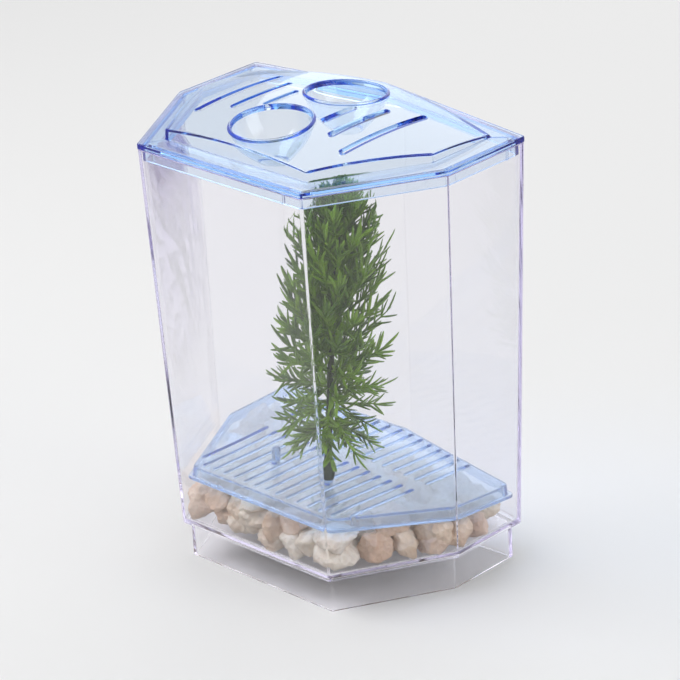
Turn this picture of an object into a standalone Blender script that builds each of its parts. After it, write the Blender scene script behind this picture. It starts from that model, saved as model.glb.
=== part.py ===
# Fish breeding box: a small clear tank with a domed lid, a slotted gravel tray,
# a plastic plant on a peg and a bed of quartz pebbles. Lengths are in metres, +Z is up,
# -Y is the wide front face, and the origin is the middle of the foot of the tank.

import math

import bmesh
import bpy
import numpy as np
from mathutils import Matrix, Vector

# Plan of the lid's rim, a seven-sided outline that mirrors across X = 0
RIM_WIDTH = 0.150
RIM_DEPTH = 0.108
FRONT_WIDTH = 0.0905
SIDE_START = 0.0518
SIDE_END = 0.0966
CORNER_RADIUS = 0.0035
CORNER_STEPS = 3

# Tank
TANK_HEIGHT = 0.1834
SKIRT_HEIGHT = 0.0154
WALL = 0.0018
FLOOR_THICKNESS = 0.0020
LEDGE_INSET = 0.0053
SKIRT_STEP = 0.0029
LID_OVERHANG = 0.0002

# Lid
SEAT_GAP = 0.0003
RIM_THICKNESS = 0.0024
LIP_GAP = 0.0003
LIP_THICKNESS = 0.0016
LIP_DEPTH = 0.0051
DOME_INSET = 0.0100
DOME_TAPER = 0.0003
LID_WALL = 0.0018
CROWN_HEIGHT = 0.0104
CROWN_BACKSET = 0.0020
CROWN_SEMI_X = 0.174
CROWN_SEMI_Y = 0.154
CROWN_SEMI_Z = 0.100
CROWN_SEGMENTS = 48
CROWN_RINGS = 32

# Funnels and vent slots of the lid
FUNNEL_RADIUS = 0.0176
FUNNEL_FOOT_RADIUS = 0.0066
FUNNEL_WALL = 0.0014
FUNNEL_SPACING = 0.0425
FUNNEL_MIDDLE = -0.00125
FUNNEL_BULGE = 0.0022
FUNNEL_STEPS = 5
FUNNEL_SIDES = 32
BEAD_RADIUS = 0.0008
BEAD_SIDES = 6
VENT_WIDTH = 0.0030
VENT_PLACES = ((0.0160, 0.0195), (0.0270, 0.0344), (0.0400, 0.0494))
VENT_MIDDLE = -0.0010

# Gravel tray
TRAY_INSET = 0.0100
TRAY_FLANGE = 0.0020
TRAY_HEIGHT = 0.0054
TRAY_THICKNESS = 0.0016
TRAY_FLANGE_THICKNESS = 0.0012
TRAY_WALL_SLOPE = 0.0004
TRAY_TILT = math.radians(5.5)
TRAY_SIDE_SHIFT = 0.0010
TRAY_BACK_SHIFT = 0.0006
SLOT_COUNT = 15
SLOT_PITCH = 0.00605
SLOT_WIDTH = 0.0020
SLOT_MARGIN = 0.0030
RIB_CENTRE = 0.0050
RIB_WIDTH = 0.0074
PEG_RADIUS = 0.00175
PEG_HEIGHT = 0.0070
PEG_SPACING = 0.0300
PEG_FRONT = 0.0205
PEG_SIDES = 16

# Plant
COLLAR_RADIUS = 0.0029
COLLAR_HEIGHT = 0.0100
COLLAR_LIFT = 0.0024
COLLAR_NECK_RADIUS = 0.0017
COLLAR_CHAMFER = 0.0005
FIT_GAP = 0.0003
STEM_RADIUS = 0.0009
STEM_SINK = 0.0030
PLANT_HEIGHT = 0.1290
STEM_BEND = 0.0051
STEM_POINTS = 15
WHORL_COUNT = 14
WHORL_FIRST = 0.0200
WHORL_TOP_GAP = 0.0110
WHORL_LAST = PLANT_HEIGHT - WHORL_TOP_GAP
HUB_WALL = 0.0007
HUB_HEIGHT = 0.0030
LEAVES = 8
LEAF_RADIUS = 0.0008
LEAF_TIP_RADIUS = 0.0002
HUB_SIDES = 8
LEAF_SIDES = 3
LEAF_LENGTH = 0.0280
LEAF_LENGTH_SHARES = (0.92, 1.00, 1.00, 1.00, 1.00, 0.88, 0.46)
LEAF_RISE = math.radians(55.0)
LEAF_RISE_SHARES = (-0.35, 0.10, 0.40, 0.55, 0.65, 0.80, 1.00)

# Pebbles
STONE_LENGTH = 0.0140
STONE_WIDTH = 0.0120
STONE_HEIGHT = 0.0082
STONE_SPREAD_SHARE = 0.16
STONE_LEAN = math.radians(7.0)
CHIP_SHARE = 0.78
STONE_SIDES = 6
STONE_RINGS = 5
STONE_CLEARANCE = 0.00025
STONE_SINK = 0.0008
BED_CELL = 0.0006
STONE_TRIES = 120
CLUMP_GRID = (4, 3)
CLUMP_STONES = 78
SINGLE_STONES = 22
SEED = 25

OVERRUN = 0.0010
MERGE_DISTANCE = 0.00001

FLOOR_TOP = SKIRT_HEIGHT + FLOOR_THICKNESS
RIM_BASE = TANK_HEIGHT + SEAT_GAP
RIM_TOP = RIM_BASE + RIM_THICKNESS
LIP_OUTER = LID_OVERHANG + WALL + LIP_GAP
LIP_BOTTOM = RIM_BASE - LIP_DEPTH
TANK_INNER_LOW = LEDGE_INSET + WALL
HUB_BORE = STEM_RADIUS + FIT_GAP
HUB_RADIUS = HUB_BORE + HUB_WALL


def clear_scene():
    for item in list(bpy.data.objects):
        bpy.data.objects.remove(item)


def new_collection(name):
    group = bpy.data.collections.new(name)
    bpy.context.scene.collection.children.link(group)
    return group


def material(name, colour, roughness, metallic=0.0, transmission=0.0):
    made = bpy.data.materials.new(name)
    made.use_nodes = True
    shader = made.node_tree.nodes["Principled BSDF"]
    shader.inputs["Base Color"].default_value = (*colour, 1.0)
    shader.inputs["Roughness"].default_value = roughness
    shader.inputs["Metallic"].default_value = metallic
    shader.inputs["Transmission Weight"].default_value = transmission
    return made


def add_mesh(name, bm, group, finish=None, smooth_angle=None):
    bmesh.ops.recalc_face_normals(bm, faces=bm.faces)
    mesh = bpy.data.meshes.new(name)
    bm.to_mesh(mesh)
    bm.free()
    if smooth_angle is not None:
        mesh.shade_smooth()
        mesh.set_sharp_from_angle(angle=smooth_angle)
    item = bpy.data.objects.new(name, mesh)
    group.objects.link(item)
    if finish is not None:
        mesh.materials.append(finish)
    return item


def add_cutter(name, bm):
    item = add_mesh(name, bm, CUTTERS)
    item.hide_render = True
    item.display_type = "WIRE"
    return item


def boolean(item, other, operation):
    step = item.modifiers.new(operation.title(), "BOOLEAN")
    step.operation = operation
    step.solver = "EXACT"
    step.object = other


def rim_corners():
    """The seven corners of the rim, anticlockwise from the front left."""
    front = -RIM_DEPTH / 2
    half = [
        (FRONT_WIDTH / 2, front),
        (RIM_WIDTH / 2, front + SIDE_START),
        (RIM_WIDTH / 2, front + SIDE_END),
    ]
    mirrored = [(-x, y) for x, y in reversed(half)]
    return [Vector(p) for p in half + [(0.0, front + RIM_DEPTH)] + mirrored]


def inset_corners(inset):
    """The rim's corners moved inwards by one distance from every side."""
    corners = rim_corners()
    sides = []
    for start, end in zip(corners, corners[1:] + corners[:1]):
        along = (end - start).normalized()
        inwards = Vector((-along.y, along.x))
        sides.append((start + inwards * inset, along))
    moved = []
    for (point, along), (other, direction) in zip(sides[-1:] + sides[:-1], sides):
        gap = other - point
        reach = gap.cross(direction) / along.cross(direction)
        moved.append(point + along * reach)
    return moved


def outline(inset, radius=CORNER_RADIUS):
    """The inset outline with each corner turned into a short arc."""
    corners = inset_corners(inset)
    points = []
    for k, corner in enumerate(corners):
        before = (corners[k - 1] - corner).normalized()
        after = (corners[(k + 1) % len(corners)] - corner).normalized()
        half_angle = before.angle(after) / 2
        centre = corner + (before + after).normalized() * radius / math.sin(half_angle)
        start = corner + before * radius / math.tan(half_angle) - centre
        turn = math.pi - 2 * half_angle
        for step in range(CORNER_STEPS + 1):
            swing = Matrix.Rotation(turn * step / CORNER_STEPS, 2)
            points.append(centre + swing @ start)
    return points


def loft(rings):
    """A closed body through outlines at given heights, capped at both ends."""
    bm = bmesh.new()
    loops = []
    for inset, height in rings:
        loops.append([bm.verts.new((p.x, p.y, height)) for p in outline(inset)])
    for lower, upper in zip(loops, loops[1:]):
        for k in range(len(lower)):
            after = (k + 1) % len(lower)
            bm.faces.new((lower[k], lower[after], upper[after], upper[k]))
    bm.faces.new(loops[0])
    bm.faces.new(loops[-1])
    return bm


def box(width, depth, height, place):
    bm = bmesh.new()
    bmesh.ops.create_cube(bm, size=1.0)
    bmesh.ops.scale(bm, vec=(width, depth, height), verts=bm.verts)
    bmesh.ops.translate(bm, vec=place, verts=bm.verts)
    return bm


def join(target, extra):
    """Adds one bmesh's bodies to another."""
    mesh = bpy.data.meshes.new("joined")
    extra.to_mesh(mesh)
    extra.free()
    target.from_mesh(mesh)
    bpy.data.meshes.remove(mesh)


def turned(name, profile, sides, group, place):
    """A profile of radius and height, screwed round Z into a closed body."""
    mesh = bpy.data.meshes.new(name)
    points = [(radius, 0.0, height) for radius, height in profile]
    edges = [(k, k + 1) for k in range(len(points) - 1)]
    mesh.from_pydata(points, edges, [])
    item = bpy.data.objects.new(name, mesh)
    group.objects.link(item)
    item.location = place
    screw = item.modifiers.new("Screw", "SCREW")
    screw.steps = sides
    screw.render_steps = sides
    screw.use_merge_vertices = True
    screw.merge_threshold = MERGE_DISTANCE
    return item


def build_tank(finish):
    skirt = LEDGE_INSET + SKIRT_STEP
    bm = loft([
        (skirt + WALL, SKIRT_HEIGHT),
        (skirt + WALL, 0.0),
        (skirt, 0.0),
        (skirt, SKIRT_HEIGHT),
        (LEDGE_INSET, SKIRT_HEIGHT),
        (LID_OVERHANG, TANK_HEIGHT),
        (LID_OVERHANG + WALL, TANK_HEIGHT),
        (TANK_INNER_LOW, FLOOR_TOP),
    ])
    return add_mesh("tank_body", bm, PARTS, finish, math.radians(40))


def crown(name, drop):
    """The ellipsoid whose top is the dome's crown, lowered by the shell's thickness."""
    bm = bmesh.new()
    bmesh.ops.create_uvsphere(bm, u_segments=CROWN_SEGMENTS, v_segments=CROWN_RINGS, radius=1.0)
    bmesh.ops.rotate(bm, matrix=Matrix.Rotation(math.pi / 2, 3, "Y"), verts=bm.verts)
    bmesh.ops.scale(bm, vec=(CROWN_SEMI_X, CROWN_SEMI_Y, CROWN_SEMI_Z), verts=bm.verts)
    middle = RIM_TOP + CROWN_HEIGHT - CROWN_SEMI_Z - drop
    bmesh.ops.translate(bm, vec=(0.0, -CROWN_BACKSET, middle), verts=bm.verts)
    return add_cutter(name, bm)


def crown_level(x, y):
    """Height of the outer crown over a point of the plan."""
    across = (x / CROWN_SEMI_X) ** 2 + ((y + CROWN_BACKSET) / CROWN_SEMI_Y) ** 2
    return RIM_TOP + CROWN_HEIGHT - CROWN_SEMI_Z * (1 - math.sqrt(1 - across))


def funnel_profile(shrink, low, high):
    """A bowl's side from mouth to foot: a straight taper with a rounded bulge."""
    points = [(0.0, high), (FUNNEL_RADIUS - shrink, high)]
    mouth = RIM_TOP + CROWN_HEIGHT - LID_WALL
    for step in range(FUNNEL_STEPS, 0, -1):
        share = step / FUNNEL_STEPS
        radius = FUNNEL_FOOT_RADIUS + (FUNNEL_RADIUS - FUNNEL_FOOT_RADIUS) * share
        radius += FUNNEL_BULGE * math.sin(math.pi * share)
        points.append((radius - shrink, LIP_BOTTOM + (mouth - LIP_BOTTOM) * share))
    points.append((FUNNEL_FOOT_RADIUS - shrink, low))
    points.append((0.0, low))
    return points


def funnel_places():
    half = FUNNEL_SPACING / 2
    return [("front", FUNNEL_MIDDLE - half), ("back", FUNNEL_MIDDLE + half)]


def vents():
    """Three slots through the dome on each side, longer towards the outside."""
    bm = bmesh.new()
    tall = CROWN_HEIGHT * 2
    for side in (-1, 1):
        for across, length in VENT_PLACES:
            middle = (side * across, VENT_MIDDLE, RIM_TOP + CROWN_HEIGHT / 2)
            straight = length - VENT_WIDTH
            join(bm, box(VENT_WIDTH, straight, tall, middle))
    return add_cutter("vent_cutter", bm)


def build_lid(finish):
    """One solid block, hollowed from below round the two funnels and cut from above."""
    dome_top = RIM_TOP + CROWN_HEIGHT + OVERRUN
    dome = add_cutter("dome_block", loft([
        (DOME_INSET, RIM_BASE + RIM_THICKNESS / 2),
        (DOME_INSET, RIM_TOP),
        (DOME_INSET + DOME_TAPER, dome_top),
    ]))
    boolean(dome, crown("crown_outer", 0.0), "INTERSECT")

    inner_inset = DOME_INSET + LID_WALL
    dome_hollow = add_cutter("dome_hollow", loft([
        (inner_inset, LIP_BOTTOM - OVERRUN),
        (inner_inset, RIM_TOP),
        (inner_inset + DOME_TAPER, dome_top),
    ]))
    boolean(dome_hollow, crown("crown_inner", LID_WALL), "INTERSECT")
    lip_hollow = add_cutter("lip_hollow", loft([
        (LIP_OUTER + LIP_THICKNESS, LIP_BOTTOM - OVERRUN),
        (LIP_OUTER + LIP_THICKNESS, RIM_BASE),
    ]))
    bowls = []
    holes = []
    beads = []
    for name, y in funnel_places():
        place = (0.0, y, 0.0)
        low = LIP_BOTTOM - 2 * OVERRUN
        high = dome_top + OVERRUN
        bowl = turned("bowl_" + name, funnel_profile(0.0, low, high), FUNNEL_SIDES, CUTTERS, place)
        hole = turned("hole_" + name, funnel_profile(FUNNEL_WALL, low, high), FUNNEL_SIDES, CUTTERS, place)
        boolean(dome_hollow, bowl, "DIFFERENCE")
        boolean(lip_hollow, bowl, "DIFFERENCE")
        bowls.append(bowl)
        holes.append(hole)
        beads.append(funnel_bead(name, y))
    for item in bowls + holes:
        item.hide_render = True
        item.display_type = "WIRE"

    lid = add_mesh("lid", loft([
        (LIP_OUTER, LIP_BOTTOM),
        (LIP_OUTER, RIM_BASE),
        (0.0, RIM_BASE),
        (0.0, RIM_TOP),
    ]), PARTS, finish, math.radians(40))
    boolean(lid, dome, "UNION")
    boolean(lid, dome_hollow, "DIFFERENCE")
    boolean(lid, lip_hollow, "DIFFERENCE")
    for bead in beads:
        boolean(lid, bead, "UNION")
    for hole in holes:
        boolean(lid, hole, "DIFFERENCE")
    boolean(lid, vents(), "DIFFERENCE")
    return lid


def funnel_bead(name, y):
    """The raised ring round a funnel's mouth, lying on the sloped crown."""
    middle = FUNNEL_RADIUS - FUNNEL_WALL / 2
    rise = crown_level(0.0, y + middle) - crown_level(0.0, y - middle)
    tilt = math.atan2(rise, 2 * middle)
    level = (crown_level(0.0, y + middle) + crown_level(0.0, y - middle)) / 2
    bm = bmesh.new()
    bmesh.ops.create_circle(bm, cap_ends=False, segments=BEAD_SIDES, radius=BEAD_RADIUS)
    bmesh.ops.rotate(bm, matrix=Matrix.Rotation(math.pi / 2, 3, "X"), verts=bm.verts)
    bmesh.ops.translate(bm, vec=(middle, 0.0, 0.0), verts=bm.verts)
    bmesh.ops.spin(bm, geom=bm.verts[:] + bm.edges[:], axis=(0, 0, 1), steps=FUNNEL_SIDES,
                   angle=2 * math.pi, use_merge=True)
    bmesh.ops.remove_doubles(bm, verts=bm.verts, dist=MERGE_DISTANCE)
    bead = add_cutter("bead_" + name, bm)
    bead.location = (0.0, y, level)
    bead.rotation_euler.x = tilt
    return bead


def slot_spans(x):
    """The plate's depth at one X, from front edge to back edge."""
    corners = inset_corners(TRAY_INSET)
    crossings = []
    for start, end in zip(corners, corners[1:] + corners[:1]):
        if min(start.x, end.x) <= x <= max(start.x, end.x) and start.x != end.x:
            share = (x - start.x) / (end.x - start.x)
            crossings.append(start.y + (end.y - start.y) * share)
    return min(crossings), max(crossings)


def tray_slots():
    """Two columns of slots with a plain rib between them."""
    bm = bmesh.new()
    for k in range(SLOT_COUNT):
        x = (k - (SLOT_COUNT - 1) / 2) * SLOT_PITCH
        front, back = slot_spans(x)
        columns = [
            (front + SLOT_MARGIN, RIB_CENTRE - RIB_WIDTH / 2),
            (RIB_CENTRE + RIB_WIDTH / 2, back - SLOT_MARGIN / 2),
        ]
        for near, far in columns:
            place = (x, (near + far) / 2, -TRAY_THICKNESS / 2)
            join(bm, box(SLOT_WIDTH, far - near, TRAY_THICKNESS + 2 * OVERRUN, place))
    return add_cutter("slot_cutter", bm)


def build_tray(finish, frame):
    """An upturned pan with a thin flange, a slotted plate and two pegs."""
    edge = TRAY_INSET
    foot = TRAY_INSET - TRAY_WALL_SLOPE
    flange_top = TRAY_FLANGE_THICKNESS - TRAY_HEIGHT
    tray = add_mesh("gravel_tray", loft([
        (edge + TRAY_THICKNESS, -TRAY_THICKNESS),
        (foot + TRAY_THICKNESS, -TRAY_HEIGHT),
        (TRAY_INSET - TRAY_FLANGE, -TRAY_HEIGHT),
        (TRAY_INSET - TRAY_FLANGE, flange_top),
        (foot, flange_top),
        (edge, 0.0),
    ]), PARTS, finish, math.radians(40))
    tray.parent = frame
    slots = tray_slots()
    slots.parent = frame
    boolean(tray, slots, "DIFFERENCE")
    for side in (-1, 1):
        bm = bmesh.new()
        bmesh.ops.create_cone(bm, cap_ends=True, segments=PEG_SIDES, radius1=PEG_RADIUS,
                              radius2=PEG_RADIUS, depth=PEG_HEIGHT + TRAY_THICKNESS / 2)
        middle = PEG_HEIGHT / 2 - TRAY_THICKNESS / 4
        bmesh.ops.translate(bm, vec=(side * PEG_SPACING / 2, -PEG_FRONT, middle), verts=bm.verts)
        peg = add_cutter("peg_left" if side < 0 else "peg_right", bm)
        peg.parent = frame
        boolean(tray, peg, "UNION")
    return tray


def stem_point(height):
    """The stem's axis at a height over the plate: straight at first, then bent back right."""
    share = max(height, 0.0) / PLANT_HEIGHT
    bend = STEM_BEND * share ** 2 / math.sqrt(2.0)
    return Vector((bend, bend, height))


def stem_direction(height):
    step = HUB_HEIGHT / 2
    return (stem_point(height + step) - stem_point(height - step)).normalized()


def build_collar(finish, frame):
    """The bulb that plugs over the peg, with the stem's socket on top."""
    low = COLLAR_LIFT
    bore = PEG_RADIUS + FIT_GAP
    bore_top = PEG_HEIGHT + FIT_GAP
    top = COLLAR_LIFT + COLLAR_HEIGHT
    socket = STEM_RADIUS + FIT_GAP
    socket_floor = top - STEM_SINK
    profile = [
        (0.0, socket_floor),
        (socket, socket_floor),
        (socket, top),
        (COLLAR_NECK_RADIUS, top),
        (COLLAR_RADIUS, (top + low) / 2),
        (COLLAR_RADIUS, low + COLLAR_NECK_RADIUS),
        (COLLAR_RADIUS - COLLAR_CHAMFER, low),
        (bore, low),
        (bore, bore_top),
        (0.0, bore_top),
    ]
    collar = turned("plant_collar", profile, PEG_SIDES, PARTS, (0.0, 0.0, 0.0))
    collar.parent = frame
    collar.data.materials.append(finish)
    return collar


def build_stem(finish, frame):
    curve = bpy.data.curves.new("plant_stem_path", "CURVE")
    curve.dimensions = "3D"
    curve.bevel_depth = STEM_RADIUS
    curve.bevel_resolution = 2
    curve.use_fill_caps = True
    foot = COLLAR_LIFT + COLLAR_HEIGHT - STEM_SINK + FIT_GAP
    spline = curve.splines.new("POLY")
    spline.points.add(STEM_POINTS - 1)
    for k in range(STEM_POINTS):
        height = foot + (PLANT_HEIGHT - foot) * k / (STEM_POINTS - 1)
        spline.points[k].co = (*stem_point(height), 1.0)
    stem = bpy.data.objects.new("plant_stem", curve)
    PARTS.objects.link(stem)
    stem.parent = frame
    curve.materials.append(finish)
    return stem


def whorl_mesh(length, angle):
    """A hub with leaves that rise all round it, as separate bodies to be united."""
    bm = bmesh.new()
    for k in range(LEAVES):
        leaf = bmesh.new()
        bmesh.ops.create_cone(leaf, cap_ends=True, segments=LEAF_SIDES, radius1=LEAF_RADIUS,
                              radius2=LEAF_TIP_RADIUS, depth=length)
        bmesh.ops.translate(leaf, vec=(0.0, 0.0, length / 2), verts=leaf.verts)
        bmesh.ops.rotate(leaf, matrix=Matrix.Rotation(math.pi / 2 - angle, 3, "Y"), verts=leaf.verts)
        reach = HUB_RADIUS - HUB_WALL / 2
        bmesh.ops.translate(leaf, vec=(reach, 0.0, 0.0), verts=leaf.verts)
        turn = Matrix.Rotation(2 * math.pi * k / LEAVES, 3, "Z")
        bmesh.ops.rotate(leaf, matrix=turn, verts=leaf.verts)
        join(bm, leaf)
    return bm


def build_whorls(finish, frame):
    """Tiers threaded on the stem, drooping at the foot, short and steep on top."""
    hub_profile = [
        (HUB_RADIUS, HUB_HEIGHT / 2),
        (HUB_RADIUS, -HUB_HEIGHT / 2),
        (HUB_BORE, -HUB_HEIGHT / 2),
        (HUB_BORE, HUB_HEIGHT / 2),
        (HUB_RADIUS, HUB_HEIGHT / 2),
    ]
    steps = np.linspace(0.0, 1.0, len(LEAF_RISE_SHARES))
    for k in range(WHORL_COUNT):
        share = k / (WHORL_COUNT - 1)
        height = WHORL_FIRST + (WHORL_LAST - WHORL_FIRST) * share
        length = LEAF_LENGTH * float(np.interp(share, steps, LEAF_LENGTH_SHARES))
        angle = LEAF_RISE * float(np.interp(share, steps, LEAF_RISE_SHARES))
        name = "leaf_whorl_%02d" % (k + 1)
        leaves = add_cutter(name + "_leaves", whorl_mesh(length, angle))
        hub = turned(name, hub_profile, HUB_SIDES, PARTS, (0.0, 0.0, 0.0))
        hub.data.materials.append(finish)
        turn = stem_direction(height).to_track_quat("Z", "Y").to_matrix().to_4x4()
        spin = Matrix.Rotation(math.pi * k / LEAVES, 4, "Z")
        for item in (hub, leaves):
            item.parent = frame
            item.matrix_basis = Matrix.Translation(stem_point(height)) @ turn @ spin
        boolean(hub, leaves, "UNION")
        hub.modifiers[-1].use_self = True


def stone_body(random):
    """A chipped quartz stone: a jittered ball squeezed to size and closed as a convex hull."""
    ball = bmesh.new()
    bmesh.ops.create_uvsphere(ball, u_segments=STONE_SIDES, v_segments=STONE_RINGS, radius=0.5)
    scale = random.uniform(1 - STONE_SPREAD_SHARE, 1 + STONE_SPREAD_SHARE)
    size = Vector((STONE_LENGTH, STONE_WIDTH, STONE_HEIGHT)) * scale
    turn = Matrix.Rotation(random.uniform(0, 2 * math.pi), 3, "Z")
    lean = Matrix.Rotation(random.normal(0, STONE_LEAN), 3, "X")
    for vert in ball.verts:
        chip = random.uniform(CHIP_SHARE, 1.0)
        vert.co = turn @ lean @ Vector([c * chip * s for c, s in zip(vert.co, size)])
    hull = bmesh.ops.convex_hull(ball, input=ball.verts)
    keep = {g for g in hull["geom"] if isinstance(g, bmesh.types.BMFace)}
    bmesh.ops.delete(ball, geom=[f for f in ball.faces if f not in keep], context="FACES_ONLY")
    bmesh.ops.delete(ball, geom=[e for e in ball.edges if not e.link_faces], context="EDGES_FACES")
    bmesh.ops.delete(ball, geom=[v for v in ball.verts if not v.link_faces], context="VERTS")
    bmesh.ops.recalc_face_normals(ball, faces=ball.faces)
    return ball


class Stone:
    """One stone's points and faces, and its lower and upper surfaces over a grid of the plan."""

    def __init__(self, random):
        self.body = stone_body(random)
        self.points = np.array([v.co for v in self.body.verts])
        self.normals = np.array([f.normal for f in self.body.faces])
        self.offsets = np.array([f.normal.dot(f.verts[0].co) for f in self.body.faces])
        self.reach = np.abs(self.points[:, :2]).max() + STONE_CLEARANCE

    def surfaces(self, grid_x, grid_y, swell):
        level = self.offsets + swell - self.normals[:, 0] * grid_x - self.normals[:, 1] * grid_y
        below = self.normals[:, 2] < 0
        bottom = (level[..., below] / self.normals[below, 2]).max(axis=-1)
        top = (level[..., ~below] / self.normals[~below, 2]).min(axis=-1)
        return bottom, top, bottom < top


def depth_inside(x, y, corners):
    """How far each point lies inside the outline, and below zero outside it."""
    clear = []
    for start, end in zip(corners, corners[1:] + corners[:1]):
        along = (end - start).normalized()
        clear.append((y - start.y) * along.x - (x - start.x) * along.y)
    return np.min(clear, axis=0)


class Bed:
    """The heights reached so far by each clump of stones, on a grid over the tank's floor."""

    def __init__(self):
        self.corners = inset_corners(TANK_INNER_LOW + STONE_CLEARANCE)
        self.half_x = max(c.x for c in self.corners)
        self.front = min(c.y for c in self.corners)
        self.back = max(c.y for c in self.corners)
        self.xs = np.arange(-self.half_x, self.half_x + BED_CELL, BED_CELL)
        self.ys = np.arange(self.front, self.back + BED_CELL, BED_CELL)
        self.clear_tops = {}
        self.own_tops = {}
        x, y = np.meshgrid(self.xs, self.ys, indexing="ij")
        inset = depth_inside(x, y, inset_corners(0.0))
        wall = TRAY_INSET + TRAY_THICKNESS + SEAT_GAP
        flange = TRAY_INSET - TRAY_FLANGE - SEAT_GAP
        cover = np.where(inset > wall, TRAY_THICKNESS, np.where(inset > flange, TRAY_HEIGHT, 0.0))
        self.tray_over = cover + (y - TRAY_BACK_SHIFT) * math.tan(TRAY_TILT)

    def level(self):
        return np.full((len(self.xs), len(self.ys)), FLOOR_TOP)

    def place(self, stone, x, y, clump):
        """Lets a stone down on the others and, by a little, into those of its own clump.

        Returns how high it makes the tray's plate lie, and the stone's place.
        """
        if depth_inside(stone.points[:, 0] + x, stone.points[:, 1] + y, self.corners).min() < 0:
            return None
        window = np.ix_(np.abs(self.xs - x) < stone.reach, np.abs(self.ys - y) < stone.reach)
        grid_x = (self.xs[window[0]] - x)[..., None]
        grid_y = (self.ys[window[1]] - y)[..., None]
        bottom, top, covered = stone.surfaces(grid_x, grid_y, STONE_CLEARANCE)
        others = self.level()[window]
        for name, tops in self.clear_tops.items():
            if name != clump:
                others = np.maximum(others, tops[window])
        z = (others - bottom)[covered].max()
        if clump in self.own_tops:
            low, high, within = stone.surfaces(grid_x, grid_y, 0.0)
            own = (self.own_tops[clump][window] - low)[within].max()
            z = max(z, own - STONE_SINK)
            if own - z < STONE_SINK / 2:
                return None
        return (top + z + self.tray_over[window])[covered].max(), x, y, z

    def settle(self, stone, x, y, z, clump):
        window = np.ix_(np.abs(self.xs - x) < stone.reach, np.abs(self.ys - y) < stone.reach)
        grid_x = (self.xs[window[0]] - x)[..., None]
        grid_y = (self.ys[window[1]] - y)[..., None]
        for tops, swell in ((self.clear_tops, STONE_CLEARANCE), (self.own_tops, 0.0)):
            bottom, top, covered = stone.surfaces(grid_x, grid_y, swell)
            grid = tops.setdefault(clump, self.level())
            grid[window] = np.maximum(grid[window], np.where(covered, top + z, FLOOR_TOP))
        bmesh.ops.translate(stone.body, vec=(x, y, z), verts=stone.body.verts)


def best_place(bed, stone, random, clump_at):
    """The tried place, with its clump, where the stone lets the tray lie lowest."""
    found = []
    for _ in range(STONE_TRIES):
        x = bed.half_x * random.uniform(-1, 1)
        y = bed.front + (bed.back - bed.front) * random.uniform()
        clump = clump_at(x, y)
        place = bed.place(stone, x, y, clump)
        if place is not None:
            found.append((*place, clump))
    return min(found)


def drop_stones():
    """The lower stones in touching clumps, then single ones on top, and the tray's level on them."""
    random = np.random.RandomState(SEED)
    bed = Bed()
    clumps = {}
    levels = []
    columns, rows = CLUMP_GRID

    def clump_at(x, y):
        column = min(int((x / bed.half_x + 1) / 2 * columns), columns - 1)
        row = min(int((y - bed.front) / (bed.back - bed.front) * rows), rows - 1)
        return "pebble_clump_%02d" % (1 + row * columns + column)

    for k in range(CLUMP_STONES + SINGLE_STONES):
        stone = Stone(random)
        single = "pebble_%02d" % (k - CLUMP_STONES + 1)
        tried = best_place(bed, stone, random, clump_at if k < CLUMP_STONES else lambda x, y: single)
        level, x, y, z, name = tried
        bed.settle(stone, x, y, z, name)
        clumps.setdefault(name, []).append(stone.body)
        levels.append(level)
    return clumps, max(levels) + SEAT_GAP


def build_pebbles(finish):
    """The bed of stones: clumps united where their stones touch, and single stones."""
    clumps, tray_level = drop_stones()
    for name, bodies in sorted(clumps.items()):
        stone = add_mesh(name, bodies[0], PARTS, finish)
        if len(bodies) > 1:
            rest = bmesh.new()
            for body in bodies[1:]:
                join(rest, body)
            boolean(stone, add_cutter(name + "_stones", rest), "UNION")
            stone.modifiers[-1].use_self = True
    return tray_level


clear_scene()
PARTS = new_collection("fish_breeding_box")
CUTTERS = new_collection("cutters")

clear_plastic = material("clear_plastic", (0.86, 0.86, 0.93), 0.04, transmission=1.0)
blue_plastic = material("blue_plastic", (0.30, 0.58, 0.84), 0.05, transmission=0.9)
leaf_plastic = material("leaf_plastic", (0.12, 0.24, 0.04), 0.45)
stem_plastic = material("stem_plastic", (0.05, 0.10, 0.03), 0.50)
quartz = material("quartz", (0.78, 0.72, 0.63), 0.60)

tray_level = build_pebbles(quartz)

tray_frame = bpy.data.objects.new("tray_frame", None)
PARTS.objects.link(tray_frame)
tray_frame.location = (TRAY_SIDE_SHIFT, TRAY_BACK_SHIFT, tray_level)
tray_frame.rotation_euler.x = -TRAY_TILT

plant_frame = bpy.data.objects.new("plant_frame", None)
PARTS.objects.link(plant_frame)
plant_frame.parent = tray_frame
plant_frame.location = (PEG_SPACING / 2, -PEG_FRONT, 0.0)

build_tank(clear_plastic)
build_lid(blue_plastic)
build_tray(blue_plastic, tray_frame)
build_collar(stem_plastic, plant_frame)
build_stem(stem_plastic, plant_frame)
build_whorls(leaf_plastic, plant_frame)
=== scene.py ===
import math

import bmesh
import bpy
import numpy as np
from mathutils import Matrix, Vector


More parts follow.
